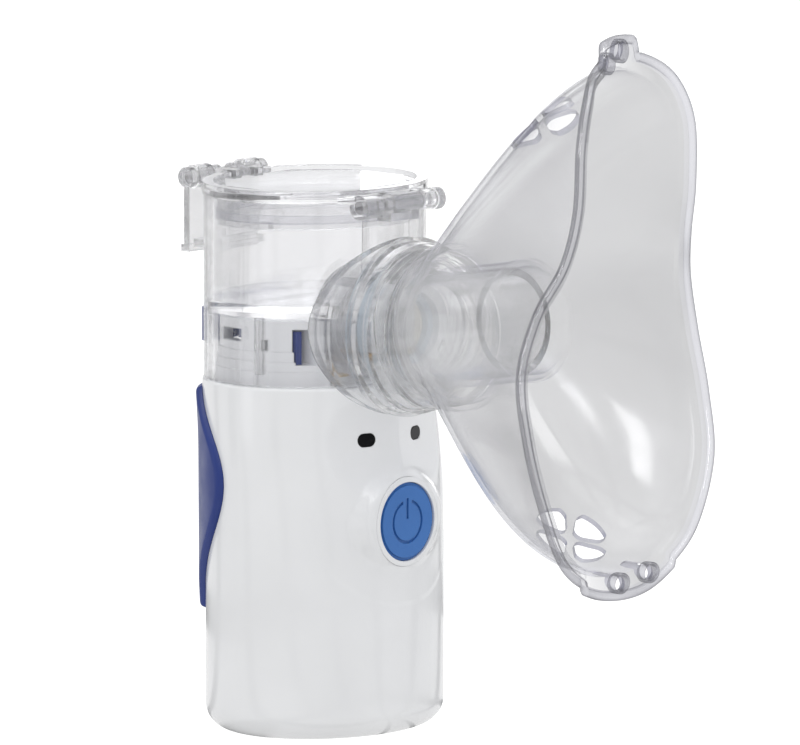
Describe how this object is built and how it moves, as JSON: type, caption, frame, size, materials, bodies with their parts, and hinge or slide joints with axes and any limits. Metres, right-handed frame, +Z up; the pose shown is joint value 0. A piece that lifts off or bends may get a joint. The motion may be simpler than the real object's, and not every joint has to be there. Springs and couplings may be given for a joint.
{
  "type": "mesh nebulizer",
  "caption": "Hand-size vibrating-mesh nebulizer: oval battery unit, lift-off clear medicine cup with hinged latched lid, mist adapter and swivelling clear face mask.",
  "frame": {"origin": "centre of the base, on the face the unit stands on", "axes": "+Z up; -Y is the front, where the button, mist outlet and mask are; X is the width"},
  "size_m": [0.0572, 0.1193, 0.1483],
  "materials": {
    "white_plastic": "glossy white ABS",
    "grip_blue": "satin deep blue grip",
    "button_blue": "satin blue",
    "black_plastic": "matt black",
    "smoked_window": "glossy black window",
    "cell_wrap": "plain shrink wrap",
    "steel": "bright",
    "nickel": "nickel plated",
    "gold_contact": "gold plated",
    "board_green": "solder mask",
    "led_body": "clear resin",
    "clear_hard": "polished clear polycarbonate",
    "clear_soft": "clear soft PVC",
    "silicone": "translucent silicone",
    "ceramic": "piezo ceramic with silvered faces"
  },
  "bodies": {
    "main_unit": {"main_housing": "white_plastic", "back_grip": "grip_blue", "battery_holder": "black_plastic", "battery_cells": "cell_wrap", "battery_springs": "steel", "battery_terminals": "nickel", "circuit_board": "board_green", "board_screws": "steel", "board_chips": "black_plastic", "tact_switch": "black_plastic", "indicator_leds": "led_body", "led_windows": "smoked_window", "dc_jack": "black_plastic", "button_bezel": "white_plastic", "top_deck": "white_plastic", "deck_screws": "steel", "contact_pins": "gold_contact", "catch_blocks": "grip_blue", "door_hinge_pin": "steel", "release_spring": "steel"},
    "power_key": {"power_button": "button_blue"},
    "release_key": {"release_button": "grip_blue"},
    "door": {"battery_door": "white_plastic", "door_contact": "nickel"},
    "cup": {"medicine_cup": "clear_hard", "mesh_disc": "steel", "piezo_ring": "ceramic", "rear_mesh_seal": "silicone", "front_mesh_seal": "silicone", "mesh_retainer": "white_plastic", "electrode_strips": "gold_contact", "lid_hinge_pin": "clear_hard"},
    "lid": {"cup_lid": "clear_hard", "lid_gasket": "silicone", "latch_pin": "clear_hard"},
    "latch": {"latch_clip": "clear_hard"},
    "adapter": {"mist_adapter": "clear_hard", "adapter_seal": "silicone"},
    "mask": {"mask_connector": "clear_hard", "mask_shell": "clear_soft"}
  },
  "joints": [
    {"name": "power_press", "type": "slide", "parent": "main_unit", "child": "power_key", "axis": [0, 1, 0], "range_m": [0, 0.0008], "stiffness_N_per_m": 800},
    {"name": "release_press", "type": "slide", "parent": "main_unit", "child": "release_key", "axis": [0, -1, 0], "range_m": [0, 0.0015], "stiffness_N_per_m": 500, "deforming": ["release_spring"]},
    {"name": "door_hinge", "type": "hinge", "parent": "main_unit", "child": "door", "pos_m": [0, 0.0139, 0.003], "axis": [1, 0, 0], "range_deg": [0, 90], "stiffness_Nm_per_rad": 0.02},
    {"name": "cup_lift", "type": "slide", "parent": "main_unit", "child": "cup", "axis": [0, 0, 1], "range_m": [0, 0.025]},
    {"name": "lid_hinge", "type": "hinge", "parent": "cup", "child": "lid", "pos_m": [0, -0.0215, 0.1092], "axis": [1, 0, 0], "range_deg": [0, 95]},
    {"name": "latch_hinge", "type": "hinge", "parent": "lid", "child": "latch", "pos_m": [0, 0.0285, 0.111], "axis": [1, 0, 0], "range_deg": [0, 85]},
    {"name": "adapter_pull", "type": "slide", "parent": "cup", "child": "adapter", "axis": [0, -1, 0], "range_m": [0, 0.014], "stiffness_N_per_m": 60},
    {"name": "mask_swivel", "type": "hinge", "parent": "adapter", "child": "mask", "pos_m": [0, -0.03, 0.084], "axis": [0, -0.9863, 0.165], "continuous": true}
  ]
}
